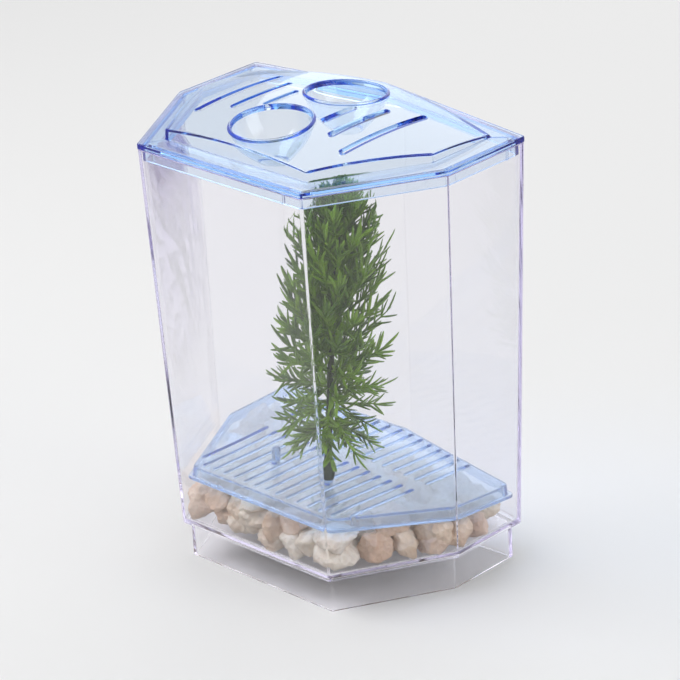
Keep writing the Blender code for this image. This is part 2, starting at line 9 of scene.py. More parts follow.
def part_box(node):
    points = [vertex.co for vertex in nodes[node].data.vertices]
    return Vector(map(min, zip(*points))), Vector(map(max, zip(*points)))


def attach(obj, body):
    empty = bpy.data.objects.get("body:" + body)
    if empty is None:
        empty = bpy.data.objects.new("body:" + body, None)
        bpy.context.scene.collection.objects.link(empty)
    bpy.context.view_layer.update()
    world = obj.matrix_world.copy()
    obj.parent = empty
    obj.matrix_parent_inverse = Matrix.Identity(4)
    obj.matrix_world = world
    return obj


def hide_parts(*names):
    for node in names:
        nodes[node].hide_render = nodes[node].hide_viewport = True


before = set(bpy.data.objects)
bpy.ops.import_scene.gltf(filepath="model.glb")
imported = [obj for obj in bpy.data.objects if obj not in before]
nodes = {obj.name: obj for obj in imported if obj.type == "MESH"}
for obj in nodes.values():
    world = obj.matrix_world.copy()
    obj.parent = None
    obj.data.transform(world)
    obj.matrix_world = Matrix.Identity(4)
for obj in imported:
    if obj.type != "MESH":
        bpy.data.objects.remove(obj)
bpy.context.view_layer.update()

# Camera. It looks down on the tank's front right corner from arm's length, through a long lens,
# and leans a few degrees to its left, as the photograph does.

CAMERA_TARGET = Vector((0.0, -0.0040, 0.0911))
CAMERA_DISTANCE = 1.3698
CAMERA_SIDEWAYS = -0.0084
CAMERA_UPWARDS = -0.0032
CAMERA_AZIMUTH = math.radians(45.2)
CAMERA_PITCH = math.radians(24.24)
CAMERA_ROLL = math.radians(-3.45)
CAMERA_LENS = 177.2
SENSOR_WIDTH = 36.0


def build_camera():
    """Puts the camera back along its own view line, with axes from azimuth, pitch and roll."""
    level = math.cos(CAMERA_PITCH)
    forward = Vector((-math.sin(CAMERA_AZIMUTH) * level, math.cos(CAMERA_AZIMUTH) * level,
                      -math.sin(CAMERA_PITCH)))
    side = Vector((math.cos(CAMERA_AZIMUTH), math.sin(CAMERA_AZIMUTH), 0.0))
    up = side.cross(forward)
    right = side * math.cos(CAMERA_ROLL) + up * math.sin(CAMERA_ROLL)
    top = up * math.cos(CAMERA_ROLL) - side * math.sin(CAMERA_ROLL)
    lens = bpy.data.cameras.new("camera")
    lens.lens = CAMERA_LENS
    lens.sensor_width = SENSOR_WIDTH
    camera = bpy.data.objects.new("camera", lens)
    bpy.context.scene.collection.objects.link(camera)
    pose = Matrix((right, top, -forward)).transposed().to_4x4()
    pose.translation = (CAMERA_TARGET - forward * CAMERA_DISTANCE
                        - right * CAMERA_SIDEWAYS - top * CAMERA_UPWARDS)
    camera.matrix_world = pose
    bpy.context.scene.camera = camera


build_camera()
bpy.context.scene.view_settings.view_transform = "Standard"

# Light paths. Light goes round inside a clear wall many times before it leaves, so the limits on
# bounces are high, or the edges would turn black.
bpy.context.scene.cycles.max_bounces = 40
bpy.context.scene.cycles.glossy_bounces = 32
bpy.context.scene.cycles.transmission_bounces = 32
bpy.context.scene.cycles.transparent_max_bounces = 32

# Floor and light. A pale studio sweep stands under and round the tank, lit by one large soft
# lamp over the left, a weaker one on the right, and an even pale world.

FLOOR_SIZE = 6.0
FLOOR_GREY = 0.80
FLOOR_ROUGH = 0.7
FLOOR_DROP = 0.0001
SKY_GREY = 0.84
SKY_LIGHT = 0.55
KEY_PLACE = (-0.55, -0.45, 1.05)
KEY_SIZE = 0.75
KEY_WATTS = 7.0
FILL_PLACE = (1.10, 0.20, 0.65)
FILL_SIZE = 0.9
FILL_WATTS = 4.0
RIM_PLACE = (-0.35, 1.10, 0.70)
RIM_SIZE = 1.5
RIM_WATTS = 4.5
LAMP_AIM = Vector((0.0, 0.0, 0.10))


def new_material(name):
    """An empty node material with its output, and a helper that adds nodes to it."""
    finish = bpy.data.materials.new(name)
    finish.use_nodes = True
    finish.node_tree.nodes.clear()
    out = finish.node_tree.nodes.new("ShaderNodeOutputMaterial")

    def add(kind, **values):
        node = finish.node_tree.nodes.new("ShaderNode" + kind)
        for key, value in values.items():
            if key in node.inputs.keys():
                node.inputs[key].default_value = value
            else:
                setattr(node, key, value)
        return node

    def join(source, target):
        finish.node_tree.links.new(source, target)

    return finish, out, add, join


def build_floor():
    """One wide pale square under the tank."""
    half = FLOOR_SIZE / 2
    mesh = bpy.data.meshes.new("floor")
    corners = [(-half, -half), (half, -half), (half, half), (-half, half)]
    mesh.from_pydata([(x, y, -FLOOR_DROP) for x, y in corners], [], [(0, 1, 2, 3)])
    floor = bpy.data.objects.new("floor", mesh)
    bpy.context.scene.collection.objects.link(floor)
    finish, out, add, join = new_material("pale_floor")
    shader = add("BsdfPrincipled", Roughness=FLOOR_ROUGH)
    shader.inputs["Base Color"].default_value = (FLOOR_GREY, FLOOR_GREY, FLOOR_GREY, 1.0)
    join(shader.outputs["BSDF"], out.inputs["Surface"])
    mesh.materials.append(finish)


def build_sky():
    """Pale where the camera, a reflection or a clear wall sees it, weaker as light."""
    world = bpy.data.worlds.new("studio")
    bpy.context.scene.world = world
    world.use_nodes = True
    tree = world.node_tree
    tree.nodes.clear()
    out = tree.nodes.new("ShaderNodeOutputWorld")
    light = tree.nodes.new("ShaderNodeBackground")
    seen = tree.nodes.new("ShaderNodeBackground")
    mix = tree.nodes.new("ShaderNodeMixShader")
    path = tree.nodes.new("ShaderNodeLightPath")
    mirrored = tree.nodes.new("ShaderNodeMath")
    through = tree.nodes.new("ShaderNodeMath")
    mirrored.operation = "MAXIMUM"
    through.operation = "MAXIMUM"
    light.inputs["Color"].default_value = (1.0, 1.0, 1.0, 1.0)
    light.inputs["Strength"].default_value = SKY_LIGHT
    seen.inputs["Color"].default_value = (SKY_GREY, SKY_GREY, SKY_GREY, 1.0)
    tree.links.new(path.outputs["Is Camera Ray"], mirrored.inputs[0])
    tree.links.new(path.outputs["Is Glossy Ray"], mirrored.inputs[1])
    tree.links.new(mirrored.outputs[0], through.inputs[0])
    tree.links.new(path.outputs["Is Transmission Ray"], through.inputs[1])
    tree.links.new(through.outputs[0], mix.inputs[0])
    tree.links.new(light.outputs[0], mix.inputs[1])
    tree.links.new(seen.outputs[0], mix.inputs[2])
    tree.links.new(mix.outputs[0], out.inputs["Surface"])


def build_lamp(name, place, size, watts):
    """A square soft lamp aimed at the tank's middle."""
    light = bpy.data.lights.new(name, "AREA")
    light.size = size
    light.energy = watts
    lamp = bpy.data.objects.new(name, light)
    lamp.location = place
    lamp.rotation_euler = (LAMP_AIM - Vector(place)).to_track_quat("-Z", "Y").to_euler()
    bpy.context.scene.collection.objects.link(lamp)


build_floor()
build_sky()
build_lamp("key_lamp", KEY_PLACE, KEY_SIZE, KEY_WATTS)
build_lamp("fill_lamp", FILL_PLACE, FILL_SIZE, FILL_WATTS)
build_lamp("rim_lamp", RIM_PLACE, RIM_SIZE, RIM_WATTS)

# Tank. One clear injection moulding with drafted walls, seven sides, a floor and an inset skirt.
# The clear plastic has a faint violet cast where an edge is seen along its length, and light scuffs.

lid_low, lid_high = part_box("lid")
tank_low, tank_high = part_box("tank_body")
HALF_WIDTH = (lid_high.x - lid_low.x) / 2
FRONT_Y = lid_low.y
DEPTH = lid_high.y - lid_low.y
FRONT_HALF = 0.04525
SIDE_START = 0.0518
SIDE_END = 0.0966
TANK_TOP = tank_high.z
LEDGE_Z = 0.0154
FLOOR_TOP = 0.0174
FLAT_MARGIN = 0.0120
LEDGE_INSET = 0.0053
SKIRT_INSET = 0.0082
WALL = 0.0018
TOP_INSET = 0.0002
TANK_ROUNDS = (0, 0.0012, 0.0003, 0.0003, 0.0008, 0.0004, 0.0003, 0.0003, 0.0005, 0)
OUTLINE_RADIUS = 0.0012
ARC_STEPS = 6
SIDE_STEPS = 12
VIOLET = (0.80, 0.74, 0.98, 1.0)
VIOLET_DENSITY = 9.0
SCUFF_SCALE = 260.0
RIPPLE_DEPTH = 0.0006
PLASTIC_IOR = 1.49
TANK_TINT = (0.975, 0.972, 0.99, 1.0)
TANK_ROUGH = 0.012


def plan_corners():
    """The seven corners of the rim in plan, anticlockwise from the front left."""
    half = np.array([(FRONT_HALF, 0.0), (HALF_WIDTH, SIDE_START), (HALF_WIDTH, SIDE_END)])
    back = np.array([(0.0, DEPTH)])
    corners = np.vstack([half, back, half[::-1] * (-1, 1)])
    return corners + (0.0, FRONT_Y)


def outline(inset, radius=OUTLINE_RADIUS, side_steps=SIDE_STEPS):
    """The plan moved in by inset, with arcs at its corners and points along its sides.

    A corner moves by inset * (n0 + n1) / (1 + n0 . n1), where n0 and n1 are the inward normals of
    the sides that meet there. The same sum with the radius added gives the centre of its arc.
    """
    corners = plan_corners()
    along = np.roll(corners, -1, axis=0) - corners
    along /= np.linalg.norm(along, axis=1)[:, None]
    after = np.stack([-along[:, 1], along[:, 0]], axis=1)
    before = np.roll(after, 1, axis=0)
    mitre = (before + after) / (1 + (before * after).sum(axis=1))[:, None]
    centres = corners + mitre * (inset + radius)
    start = np.arctan2(-before[:, 1], -before[:, 0])
    turn = np.arctan2(before[:, 0] * after[:, 1] - before[:, 1] * after[:, 0], (before * after).sum(axis=1))
    angle = start[:, None] + turn[:, None] * np.linspace(0, 1, ARC_STEPS + 1)
    arcs = centres[:, None] + radius * np.stack([np.cos(angle), np.sin(angle)], axis=2)
    ends = arcs[:, -1]
    starts = np.roll(arcs[:, 0], -1, axis=0)
    share = np.linspace(0, 1, side_steps + 1)[1:-1, None]
    sides = ends[:, None] * (1 - share) + starts[:, None] * share
    return np.concatenate([arcs, sides], axis=1).reshape(-1, 2)


def ring(inset, height, radius=OUTLINE_RADIUS):
    """One level outline as points in space."""
    flat = outline(inset, radius)
    return np.column_stack([flat, np.full(len(flat), height)])


def rounded(corner, before, after, radius, steps=4):
    """Points on a quadratic curve that rounds a profile's corner, from one side to the other."""
    corner, before, after = (np.array(p, float) for p in (corner, before, after))
    start = corner + (before - corner) / np.linalg.norm(before - corner) * radius
    end = corner + (after - corner) / np.linalg.norm(after - corner) * radius
    share = np.linspace(0, 1, steps + 1)[:, None]
    return (1 - share) ** 2 * start + 2 * share * (1 - share) * corner + share ** 2 * end


def soft_profile(points, radii):
    """A profile of inset and height whose corners are rounded by their own radii."""
    parts = [[points[0]]]
    for k in range(1, len(points) - 1):
        if radii[k]:
            parts.append(rounded(points[k], points[k - 1], points[k + 1], radii[k]))
        else:
            parts.append([points[k]])
    parts.append([points[-1]])
    return np.vstack(parts)


def loft(rings):
    """Closes a stack of equal rings into one body: quads between rings, a fan on each end."""
    rings = np.asarray(rings)
    count, around = rings.shape[:2]
    points = np.vstack([rings.reshape(-1, 3), rings[0].mean(axis=0), rings[-1].mean(axis=0)])
    row = np.arange(count - 1)[:, None] * around
    here = np.arange(around)
    after = (here + 1) % around
    quads = np.stack([row + here, row + after, row + around + after, row + around + here], axis=2)
    first = np.column_stack([np.full(around, count * around), after, here])
    top = (count - 1) * around
    last = np.column_stack([np.full(around, count * around + 1), top + here, top + after])
    return points, quads.reshape(-1, 4).tolist() + first.tolist() + last.tolist()


def add_piece(name, points, faces, sharp=35.0):
    """A mesh object at the origin, smooth but for edges sharper than the given angle."""
    mesh = bpy.data.meshes.new(name)
    mesh.from_pydata(np.asarray(points).tolist(), [], faces)
    mesh.validate()
    mesh.shade_smooth()
    mesh.set_sharp_from_angle(angle=math.radians(sharp))
    piece = bpy.data.objects.new(name, mesh)
    bpy.context.scene.collection.objects.link(piece)
    return piece


def dress(piece, body, slot, finish, *replaced):
    """Gives a piece its finish and its place in the frame."""
    piece.data.materials.clear()
    piece.data.materials.append(finish)
    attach(piece, body)
    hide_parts(*replaced)


def clear_material(name, tint, colour, density, rough, clear_share_rest_painted_reflection=1.0):
    """Clear plastic: refracting, tinted by its depth, scuffed, and clear to lamp light.

    Shadow rays pass as through a tinted sheet, because lamps don't shine through refraction.
    """
    finish, out, add, join = new_material(name)
    place = add("TexCoord")
    grain = add("TexNoise", Scale=SCUFF_SCALE, Detail=6.0, Roughness=0.65)
    spread_rough = add("MapRange")
    spread_rough.inputs["From Min"].default_value = 0.45
    spread_rough.inputs["From Max"].default_value = 0.75
    spread_rough.inputs["To Min"].default_value = rough
    spread_rough.inputs["To Max"].default_value = rough * 6
    ripple = add("TexNoise", Scale=SCUFF_SCALE / 12, Detail=2.0)
    bump = add("Bump", Strength=0.03, Distance=RIPPLE_DEPTH)
    shader = add("BsdfPrincipled", IOR=PLASTIC_IOR)
    shader.inputs["Base Color"].default_value = tint
    # Where the clear share is below 1, the rest of the surface is a pale diffuse sheet in the tint; on the
    # tray this is a painted reflection of a soft lamp.
    shader.inputs["Transmission Weight"].default_value = clear_share_rest_painted_reflection
    absorb = add("VolumeAbsorption", Density=density)
    absorb.inputs["Color"].default_value = colour
    sheet = add("BsdfTransparent")
    sheet.inputs["Color"].default_value = tint
    path = add("LightPath")
    mix = add("MixShader")
    join(place.outputs["Object"], grain.inputs["Vector"])
    join(place.outputs["Object"], ripple.inputs["Vector"])
    join(grain.outputs["Fac"], spread_rough.inputs["Value"])
    join(spread_rough.outputs["Result"], shader.inputs["Roughness"])
    join(ripple.outputs["Fac"], bump.inputs["Height"])
    join(bump.outputs["Normal"], shader.inputs["Normal"])
    join(path.outputs["Is Shadow Ray"], mix.inputs[0])
    join(shader.outputs["BSDF"], mix.inputs[1])
    join(sheet.outputs["BSDF"], mix.inputs[2])
    join(mix.outputs["Shader"], out.inputs["Surface"])
    join(absorb.outputs["Volume"], out.inputs["Volume"])
    return finish


def build_tank():
    """Rings from the middle of the floor, up inside, over the rim, down outside and under."""
    inner_low = LEDGE_INSET + WALL
    skirt_in = SKIRT_INSET + WALL
    profile = soft_profile([
        (inner_low + FLAT_MARGIN, FLOOR_TOP),
        (inner_low, FLOOR_TOP),
        (TOP_INSET + WALL, TANK_TOP),
        (TOP_INSET, TANK_TOP),
        (LEDGE_INSET, LEDGE_Z),
        (SKIRT_INSET, LEDGE_Z),
        (SKIRT_INSET, 0.0),
        (skirt_in, 0.0),
        (skirt_in, LEDGE_Z),
        (skirt_in + FLAT_MARGIN, LEDGE_Z),
    ], TANK_ROUNDS)
    rings = [ring(inset, height) for inset, height in profile]
    points, faces = loft(rings)
    return add_piece("clear_tank", points, [face[::-1] for face in faces])


clear_plastic = clear_material("clear_plastic", TANK_TINT, VIOLET, VIOLET_DENSITY, TANK_ROUGH)
dress(build_tank(), "tank", "clear_plastic", clear_plastic, "tank_body")

# Lid. One clear blue moulding: a flat rim with a lip that drops into the tank, a low crowned
# dome, two round feeding funnels and six vent slots. It lifts straight off.

LID_GAP = 0.0003
RIM_THICKNESS = 0.0024
RIM_BASE = TANK_TOP + LID_GAP
RIM_TOP = RIM_BASE + RIM_THICKNESS
LID_ROUNDS = (0, 0.0004, 0.0006, 0.0004, 0.0003, 0.0003, 0.0003, 0.0004, 0.0005, 0)
LIP_OUTER = 0.0023
LIP_INNER = 0.0039
LIP_BOTTOM = lid_low.z
DOME_INSET = 0.0100
DOME_TAPER = 0.0003
DOME_SHELL = 0.0018
DOME_FOOT = 0.0006
EAVE_RADIUS = 0.0007
CROWN_HEIGHT = 0.0104
CROWN_BACKSET = 0.0020
CROWN_BOW_X = 1.65
CROWN_BOW_Y = 2.10
CROWN_RINGS = 20
FUNNEL_PLACES = (-0.0225, 0.0200)
FUNNEL_RADIUS = 0.0176
FUNNEL_FOOT = 0.0066
FUNNEL_SHELL = 0.0014
FUNNEL_SIDES = 72
FUNNEL_BULGE = 0.0022
BEAD = 0.00078
RIB_OFFSET = 0.0065
RIB_WIDE = 0.0009
RIB_DEEP = 0.0006
RIB_SHORT = 0.0004
RIB_SINK = 0.0002
VENT_WIDTH = 0.0030
VENT_PLACES = ((0.0160, 0.0195), (0.0270, 0.0344), (0.0400, 0.0494))
VENT_MIDDLE = -0.0010
CUT_OVER = 0.0020
CUT_UNDER = 0.0010
BLUE = (0.12, 0.50, 0.91, 1.0)
BLUE_DENSITY = 95.0
BLUE_TINT = (0.93, 0.97, 1.0, 1.0)
LID_ROUGH = 0.015


def crown_height(flat):
    """Height of the dome's outer surface: its top less a bowl-shaped fall in x and y."""
    fall = CROWN_BOW_X * flat[:, 0] ** 2 + CROWN_BOW_Y * (flat[:, 1] + CROWN_BACKSET) ** 2
    return RIM_TOP + CROWN_HEIGHT - fall


def crown_rings(inset, drop):
    """Rings from the dome's middle out to an outline, each lying on the crown less drop."""
    edge = outline(inset)
    middle = np.array([0.0, edge[:, 1].mean()])
    shares = np.linspace(0.04, 1.0, CROWN_RINGS)
    rings = []
    for share in shares:
        flat = middle + (edge - middle) * share
        rings.append(np.column_stack([flat, crown_height(flat) - drop]))
    return rings


def eave_rings(inset, drop, radius, steps=5):
    """Rings that round the edge between the crown and the dome's wall by a quarter turn."""
    edge = outline(inset)
    rings = []
    for angle in np.linspace(0, math.pi / 2, steps + 1)[1:]:
        flat = outline(inset - radius * math.sin(angle))
        level = crown_height(edge) - drop - radius * (1 - math.cos(angle))
        rings.append(np.column_stack([flat, level]))
    return rings


def joined(base, tools):
    """The base after its Boolean steps, as one new mesh, with the tools removed."""
    for tool, operation in tools:
        step = base.modifiers.new(operation.title(), "BOOLEAN")
        step.operation = operation
        step.solver = "EXACT"
        step.object = tool
    bpy.context.view_layer.update()
    made = bpy.data.meshes.new_from_object(base.evaluated_get(bpy.context.evaluated_depsgraph_get()))
    base.modifiers.clear()
    made.name = base.data.name
    base.data = made
    for tool, operation in tools:
        bpy.data.objects.remove(tool)
    made.shade_smooth()
    made.set_sharp_from_angle(angle=math.radians(32))
    return base


def stadium(width, length, middle, low, high, steps=8):
    """An upright bar with round ends, as two half circles swept between two levels."""
    radius = width / 2
    angle = np.linspace(0, math.pi, steps + 1)
    half = np.column_stack([radius * np.cos(angle), radius * np.sin(angle) + length / 2 - radius])
    flat = np.vstack([half, -half]) + middle
    lower = np.column_stack([flat, np.full(len(flat), low)])
    upper = np.column_stack([flat, np.full(len(flat), high)])
    return loft([lower, upper])


def merged(bodies):
    """Several bodies' points and faces as one list each."""
    points = []
    faces = []
    count = 0
    for part_points, part_faces in bodies:
        points.append(part_points)
        faces += [[index + count for index in face] for face in part_faces]
        count += len(part_points)
    return np.vstack(points), faces


def vent_cutters():
    """Six round-ended bars, three on each side, longer towards the outside."""
    high = RIM_TOP + CROWN_HEIGHT + CUT_OVER
    bodies = []
    for side in (-1, 1):
        for across, length in VENT_PLACES:
            middle = (side * across, VENT_MIDDLE)
            bodies.append(stadium(VENT_WIDTH, length, middle, RIM_TOP - CUT_UNDER, high))
    return add_piece("vent_cutters", *merged(bodies))


def unit(vectors):
    return vectors / np.linalg.norm(vectors, axis=-1, keepdims=True)


def side_planes(inset, lean, level):
    """The seven upright sides at an inset, as outward normals and a point on each."""
    corners = plan_corners()
    along = unit(np.roll(corners, -1, axis=0) - corners)
    out = np.column_stack([along[:, 1], -along[:, 0]])
    normals = unit(np.column_stack([out, np.full(len(out), -lean)]))
    return normals, np.column_stack([corners - out * inset, np.full(len(out), level)])


def lip_ribs():
    """Two short upright ribs inside the lip at each of its corners, one on each side."""
    normals, points = side_planes(LIP_INNER, 0.0, 0.0)
    ends = np.roll(points, -1, axis=0)
    bodies = []
    for start, end, normal in zip(points, ends, normals):
        along = unit(end - start)
        for place in (start + along * RIB_OFFSET, end - along * RIB_OFFSET):
            flat = [place + along * side * RIB_WIDE / 2 - normal * depth
                    for side, depth in ((-1, -RIB_DEEP), (1, -RIB_DEEP), (1, RIB_DEEP), (-1, RIB_DEEP))]
            lower = np.array(flat) + (0.0, 0.0, LIP_BOTTOM + RIB_SHORT)
            upper = np.array(flat) + (0.0, 0.0, RIM_BASE + RIB_SINK)
            bodies.append(loft([lower, upper]))
    return add_piece("lip_ribs", *merged(bodies))


def funnel_body(y):
    """A funnel as a closed ring: a section of radius, height and follow, carried round its axis.

    The section runs round the bead, down inside the bowl and back up outside it. Follow is 1 where
    a point moves up or down with the sloped crown, and falls to 0 at the level foot.
    """
    mouth = FUNNEL_RADIUS - FUNNEL_SHELL / 2
    level = crown_height(np.array([[0.0, y]]))[0]
    turn = np.linspace(-0.15 * math.pi, 1.15 * math.pi, 13)
    bead = np.column_stack([mouth + BEAD * np.cos(turn), level + BEAD * np.sin(turn), np.ones(13)])
    share = np.linspace(0.94, 0.0, 16)
    cone = FUNNEL_FOOT + (FUNNEL_RADIUS - FUNNEL_FOOT) * share
    radius = cone + FUNNEL_BULGE * np.sin(math.pi * share)
    height = LIP_BOTTOM + (level - LIP_BOTTOM) * share
    follow = share ** 2
    inner = np.column_stack([radius - FUNNEL_SHELL, height, follow])
    outer = np.column_stack([radius, height, follow])[::-1]
    section = np.vstack([bead, inner, outer])
    angle = np.linspace(0, 2 * math.pi, FUNNEL_SIDES, endpoint=False)
    x = section[:, 0][:, None] * np.cos(angle)
    dy = section[:, 0][:, None] * np.sin(angle)
    flat = np.column_stack([x.ravel(), (y + dy).ravel()])
    slope = (crown_height(flat) - level).reshape(x.shape)
    z = section[:, 1][:, None] + slope * section[:, 2][:, None]
    points = np.column_stack([flat, z.ravel()])
    rows, around = x.shape
    row = np.arange(rows)[:, None]
    here = np.arange(around)
    after = (here + 1) % around
    below = (row + 1) % rows
    quads = np.stack([row * around + here, row * around + after,
                      below * around + after, below * around + here], axis=2)
    return points, quads.reshape(-1, 4).tolist()


def build_lid():
    """The lid's shell as one stack of rings, cut for the funnels and vents, with the funnels added."""
    inner = DOME_INSET + DOME_SHELL
    crown_edge = DOME_INSET + DOME_TAPER + EAVE_RADIUS
    under_edge = inner + DOME_TAPER + EAVE_RADIUS / 2
    rings = crown_rings(crown_edge, 0.0) + eave_rings(crown_edge, 0.0, EAVE_RADIUS)
    outside = soft_profile([
        (DOME_INSET + DOME_TAPER / 2, RIM_TOP + DOME_FOOT),
        (DOME_INSET, RIM_TOP),
        (0.0, RIM_TOP),
        (0.0, RIM_BASE),
        (LIP_OUTER, RIM_BASE),
        (LIP_OUTER, LIP_BOTTOM),
        (LIP_INNER, LIP_BOTTOM),
        (LIP_INNER, RIM_BASE),
        (inner, RIM_BASE),
        (inner, RIM_TOP),
    ], LID_ROUNDS)
    rings += [ring(inset, height) for inset, height in outside]
    under = crown_rings(under_edge, DOME_SHELL) + eave_rings(under_edge, DOME_SHELL, EAVE_RADIUS / 2)
    rings += under[::-1]
    points, faces = loft(rings)
    shell = add_piece("blue_lid", points, faces)
    tools = [(vent_cutters(), "DIFFERENCE"), (lip_ribs(), "UNION")]
    for k, y in enumerate(FUNNEL_PLACES):
        angle = np.linspace(0, 2 * math.pi, FUNNEL_SIDES, endpoint=False)
        mouth = FUNNEL_RADIUS - FUNNEL_SHELL / 2
        circle = np.column_stack([mouth * np.cos(angle), y + mouth * np.sin(angle)])
        levels = (RIM_TOP, RIM_TOP + CROWN_HEIGHT + CUT_OVER)
        hole = loft([np.column_stack([circle, np.full(len(circle), level)]) for level in levels])
        tools.append((add_piece("mouth_cutter", *hole), "DIFFERENCE"))
        tools.append((add_piece("funnel", *funnel_body(y)), "UNION"))
    return joined(shell, tools)


blue_plastic = clear_material("blue_plastic", BLUE_TINT, BLUE, BLUE_DENSITY, LID_ROUGH)
dress(build_lid(), "lid", "blue_plastic", blue_plastic, "lid")

# Gravel tray. A clear blue upturned pan with a flange at its foot, rows of narrow slots and two
# pegs for plants. It lies loose on the pebbles, a little lower at the back.

# The tray's tint is its pale blue and also the colour of a pale diffuse share of its surface, a painted
# reflection that whitens the plate.
TRAY_TINT_AND_PAINTED_REFLECTION = (0.86, 0.92, 0.98, 1.0)
TRAY_DENSITY = 150.0
TRAY_ROUGH = 0.03
# Share of the tray's surface that is clear; the rest is a pale diffuse sheet, a painted reflection.
TRAY_CLEAR_SHARE_REST_PAINTED_REFLECTION = 0.84
TRAY_TILT = math.radians(5.5)
TRAY_INSET = 0.0100
TRAY_FLANGE = 0.0020
TRAY_HEIGHT = 0.0054
TRAY_SHELL = 0.0016
FLANGE_SHELL = 0.0012
TRAY_SLOPE = 0.0004
TRAY_CORNER = 0.0035
TRAY_ROUNDS = (0, 0.0006, 0.0004, 0.0004, 0.0004, 0.0004, 0.0004, 0)
PLATE_CORNER = 0.0010
SLOT_COUNT = 15
SLOT_PITCH = 0.00605
SLOT_WIDTH = 0.0020
SLOT_MARGIN = 0.0030
SLOT_DEEP = 0.0040
SLOT_OVER = 0.0010
RIB_FRONT = 0.0013
RIB_BACK = 0.0087
PEG_RADIUS = 0.00175
PEG_HEIGHT = 0.0070
PEG_SIDES = 32
PEG_SINK = 0.0008
PEG_DOME = 0.0008
PEG_TIP = 0.0003
PEG_SHARES = (1.0, 1.0, 1.0, 0.86, 0.45)
PEG_PLACES = ((-0.0150, -0.0205), (0.0150, -0.0205))

tray_low, tray_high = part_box("gravel_tray")
flange_edge = outline(TRAY_INSET - TRAY_FLANGE, TRAY_CORNER)
flange_front, flange_back = flange_edge[:, 1].min(), flange_edge[:, 1].max()
tray_level = tray_low.z + TRAY_HEIGHT * math.cos(TRAY_TILT) + flange_back * math.sin(TRAY_TILT)
tray_back = tray_low.y - flange_front * math.cos(TRAY_TILT) + TRAY_HEIGHT * math.sin(TRAY_TILT)
tray_frame = (Matrix.Translation(((tray_low.x + tray_high.x) / 2, tray_back, tray_level))
              @ Matrix.Rotation(-TRAY_TILT, 4, "X"))


def placed(points, pose):
    """Points turned and moved by a pose, as whole arrays."""
    turn = np.array(pose.to_3x3())
    return np.asarray(points) @ turn.T + np.array(pose.translation)


def span_at(x):
    """The plate's front and back edge at one x."""
    corners = outline(TRAY_INSET, PLATE_CORNER)
    after = np.roll(corners, -1, axis=0)
    crosses = (corners[:, 0] - x) * (after[:, 0] - x) <= 0
    share = (x - corners[crosses, 0]) / (after[crosses, 0] - corners[crosses, 0])
    depths = corners[crosses, 1] + (after[crosses, 1] - corners[crosses, 1]) * share
    return depths.min(), depths.max()


def slot_cutters():
    """Two columns of round-ended bars, in front of and behind the plain rib."""
    bodies = []
    for k in range(SLOT_COUNT):
        x = (k - (SLOT_COUNT - 1) / 2) * SLOT_PITCH
        front, back = span_at(x)
        for near, far in ((front + SLOT_MARGIN, RIB_FRONT), (RIB_BACK, back - SLOT_MARGIN / 2)):
            middle = (x, (near + far) / 2)
            bodies.append(stadium(SLOT_WIDTH, far - near, middle, -SLOT_DEEP, SLOT_OVER, 5))
    points, faces = merged(bodies)
    return add_piece("slot_cutters", placed(points, tray_frame), faces)


def peg_body(place):
    """A round peg with a domed end, as rings up its axis."""
    heights = np.array([-PEG_SINK, 0.0, PEG_HEIGHT - PEG_DOME, PEG_HEIGHT - PEG_TIP, PEG_HEIGHT])
    radii = np.array(PEG_SHARES) * PEG_RADIUS
    angle = np.linspace(0, 2 * math.pi, PEG_SIDES, endpoint=False)
    rings = [np.column_stack([place[0] + r * np.cos(angle), place[1] + r * np.sin(angle),
                              np.full(PEG_SIDES, z)]) for r, z in zip(radii, heights)]
    return loft(rings)


def build_tray():
    """The pan as a stack of rings over the plate, down its side, round the flange and back."""
    foot = TRAY_INSET - TRAY_SLOPE
    profile = soft_profile([
        (TRAY_INSET + FLAT_MARGIN, 0.0),
        (TRAY_INSET, 0.0),
        (foot, FLANGE_SHELL - TRAY_HEIGHT),
        (TRAY_INSET - TRAY_FLANGE, FLANGE_SHELL - TRAY_HEIGHT),
        (TRAY_INSET - TRAY_FLANGE, -TRAY_HEIGHT),
        (foot + TRAY_SHELL, -TRAY_HEIGHT),
        (TRAY_INSET + TRAY_SHELL, -TRAY_SHELL),
        (TRAY_INSET + FLAT_MARGIN, -TRAY_SHELL),
    ], TRAY_ROUNDS)
    points, faces = loft([ring(inset, height, TRAY_CORNER) for inset, height in profile])
    tray = add_piece("blue_tray", placed(points, tray_frame), faces)
    tools = [(slot_cutters(), "DIFFERENCE")]
    for place in PEG_PLACES:
        points, faces = peg_body(place)
        tools.append((add_piece("peg", placed(points, tray_frame), faces), "UNION"))
    return joined(tray, tools)


# The tray's finish is clear blue plastic with a painted reflection: a pale diffuse share that whitens the
# plate.
tray_plastic_with_painted_reflection = clear_material("tray_plastic_with_painted_reflection", TRAY_TINT_AND_PAINTED_REFLECTION, BLUE, TRAY_DENSITY, TRAY_ROUGH, TRAY_CLEAR_SHARE_REST_PAINTED_REFLECTION)
dress(build_tray(), "tray", "blue_plastic", tray_plastic_with_painted_reflection, "gravel_tray")

# Plant base and stem. The base is a dark green moulded bulb that plugs over a peg of the tray.
# The stem is a thin green rod that leans back with the tray and bends a little to the right.

